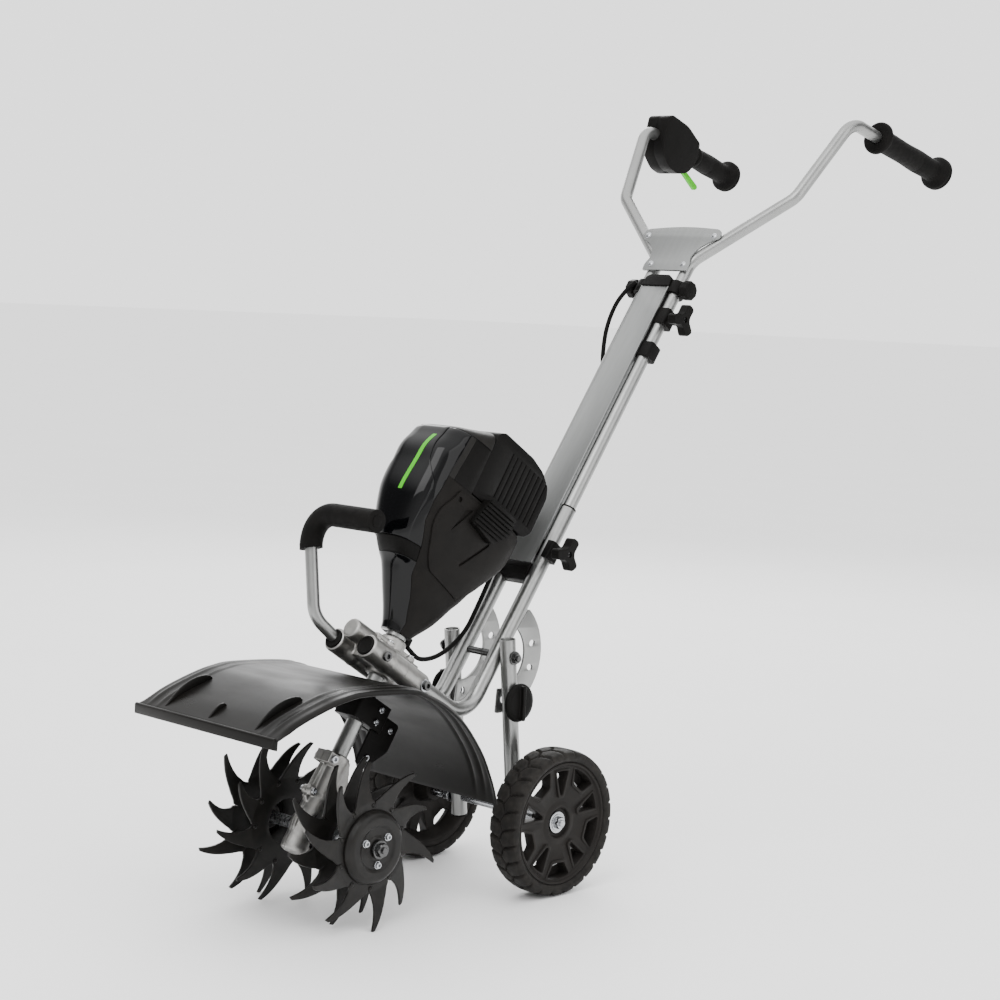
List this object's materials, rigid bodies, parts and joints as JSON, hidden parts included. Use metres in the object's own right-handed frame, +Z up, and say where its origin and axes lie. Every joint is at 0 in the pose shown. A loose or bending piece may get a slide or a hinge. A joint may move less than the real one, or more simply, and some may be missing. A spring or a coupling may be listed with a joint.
{
  "type": "battery cultivator",
  "caption": "Walk-behind cultivator with worm-driven bladed discs under a fender, a slanted power head, a pull-out handlebar and a pair of wheels on folding legs.",
  "frame": {"origin": "on the ground, under the middle of the overall box", "axes": "+Z up, the tines lead towards -Y, the operator stands at +Y, +X is the machine's left"},
  "size_m": [0.4612, 1.2496, 1.1128],
  "materials": {
    "satin_silver": "satin anodised tube",
    "cast_aluminium": "as cast, lightly blasted",
    "zinc_plate": "zinc plated",
    "steel": "machined",
    "bronze": "machined bronze",
    "copper": "wound copper",
    "tine_black": "black powder coat",
    "gloss_black": "high gloss moulding",
    "matt_black": "fine moulded texture",
    "fender_black": "satin moulding with ribs",
    "wheel_black": "satin moulding",
    "tyre_black": "block tread",
    "grip_rubber": "soft grip",
    "battery_grey": "ribbed moulding",
    "trigger_green": "bright green moulding",
    "circuit_board": "potted board with a heat sink",
    "cable_black": "flexible sheath"
  },
  "bodies": {
    "root": {"frame_tube_left": "satin_silver", "frame_tube_right": "satin_silver", "quadrant_plate_left": "satin_silver", "quadrant_plate_right": "satin_silver", "drive_tube": "satin_silver", "carry_tube": "satin_silver", "panel": "satin_silver", "gearbox_half_left": "cast_aluminium", "gearbox_half_right": "cast_aluminium", "clamp_front": "cast_aluminium", "clamp_rear": "cast_aluminium", "pivot_rod": "zinc_plate", "shaft_bearing": "steel", "motor_stator": "copper", "motor_cover": "gloss_black", "motor_shell_left": "matt_black", "motor_shell_right": "matt_black", "battery_bay": "matt_black", "fender_bracket": "matt_black", "panel_cap_lower": "matt_black", "panel_cap_upper": "matt_black", "tube_clamp_lower": "matt_black", "tube_clamp_upper": "matt_black", "fender": "fender_black", "carry_grip": "grip_rubber", "controller": "circuit_board", "power_cable": "cable_black"},
    "tines": {"tine_shaft": "steel", "tine_disc_outer_left": "tine_black", "tine_disc_outer_right": "tine_black", "tine_disc_inner_left": "tine_black", "tine_disc_inner_right": "tine_black", "tine_hub_left": "tine_black", "tine_hub_right": "tine_black", "worm_wheel": "bronze"},
    "drive_shaft": {"worm_shaft": "steel", "motor_rotor": "steel"},
    "wheel_legs": {"leg_tube_left": "satin_silver", "leg_tube_right": "satin_silver", "wheel_axle": "zinc_plate", "axle_nut_left": "zinc_plate", "axle_nut_right": "zinc_plate"},
    "wheel_left": {"wheel_rim_left": "wheel_black", "tyre_left": "tyre_black"},
    "wheel_right": {"wheel_rim_right": "wheel_black", "tyre_right": "tyre_black"},
    "lock_left": {"lock_pin_left": "matt_black"},
    "lock_right": {"lock_pin_right": "matt_black"},
    "handlebar": {"handlebar_left": "satin_silver", "handlebar_right": "satin_silver", "yoke_plate": "satin_silver", "grip_left": "grip_rubber", "grip_right": "grip_rubber", "trigger_housing": "matt_black"},
    "trigger": {"trigger": "trigger_green"},
    "lockout": {"lockout_button": "matt_black"},
    "lower_knob": {"knob_lower": "matt_black"},
    "upper_knob": {"knob_upper": "matt_black"},
    "battery": {"battery": "battery_grey"},
    "battery_latch": {"battery_latch": "battery_grey"}
  },
  "joints": [
    {"name": "tine_spin", "type": "hinge", "parent": "root", "child": "tines", "pos_m": [0, -0.43118, 0.10788], "axis": [1, 0, 0], "continuous": true},
    {"name": "shaft_spin", "type": "hinge", "parent": "root", "child": "drive_shaft", "pos_m": [0, -0.31951, 0.3265], "axis": [0, 0.5329, 0.8462], "continuous": true},
    {"name": "leg_fold", "type": "hinge", "parent": "root", "child": "wheel_legs", "pos_m": [0, -0.14254, 0.31738], "axis": [1, 0, 0], "range_deg": [0, 94.8]},
    {"name": "wheel_left_spin", "type": "hinge", "parent": "wheel_legs", "child": "wheel_left", "pos_m": [0.125, -0.11751, 0.1], "axis": [1, 0, 0], "continuous": true},
    {"name": "wheel_right_spin", "type": "hinge", "parent": "wheel_legs", "child": "wheel_right", "pos_m": [-0.125, -0.11751, 0.1], "axis": [1, 0, 0], "continuous": true},
    {"name": "lock_left_pull", "type": "slide", "parent": "wheel_legs", "child": "lock_left", "axis": [1, 0, 0], "range_m": [0, 0.008], "stiffness_N_per_m": 400, "springref_m": -0.004},
    {"name": "lock_right_pull", "type": "slide", "parent": "wheel_legs", "child": "lock_right", "axis": [-1, 0, 0], "range_m": [0, 0.008], "stiffness_N_per_m": 400, "springref_m": -0.004},
    {"name": "handle_slide", "type": "slide", "parent": "root", "child": "handlebar", "axis": [0, 0.565, 0.8251], "range_m": [0, 0.11]},
    {"name": "trigger_squeeze", "type": "hinge", "parent": "handlebar", "child": "trigger", "pos_m": [-0.20015, 0.4619, 1.05236], "axis": [0.999, 0.0269, -0.0348], "range_deg": [0, 7], "stiffness_Nm_per_rad": 0.3, "springref_deg": -5.73},
    {"name": "lockout_press", "type": "slide", "parent": "handlebar", "child": "lockout", "axis": [-0.0269, -0.2536, -0.9669], "range_m": [0, 0.004], "stiffness_N_per_m": 500, "springref_m": -0.003},
    {"name": "lower_knob_turn", "type": "hinge", "parent": "root", "child": "lower_knob", "pos_m": [0.054, -0.04831, 0.45501], "axis": [1, 0, 0], "range_deg": [0, 720]},
    {"name": "upper_knob_turn", "type": "hinge", "parent": "root", "child": "upper_knob", "pos_m": [0.054, 0.17824, 0.78588], "axis": [1, 0, 0], "range_deg": [0, 720]},
    {"name": "battery_slide", "type": "slide", "parent": "root", "child": "battery", "axis": [0, 0.5329, 0.8462], "range_m": [0, 0.09]},
    {"name": "latch_press", "type": "slide", "parent": "battery", "child": "battery_latch", "axis": [0, -0.5329, -0.8462], "range_m": [0, 0.003], "stiffness_N_per_m": 600, "springref_m": -0.003}
  ],
  "couplings": [
    {"joint": "shaft_spin", "follows": "tine_spin", "ratio": -20}
  ]
}
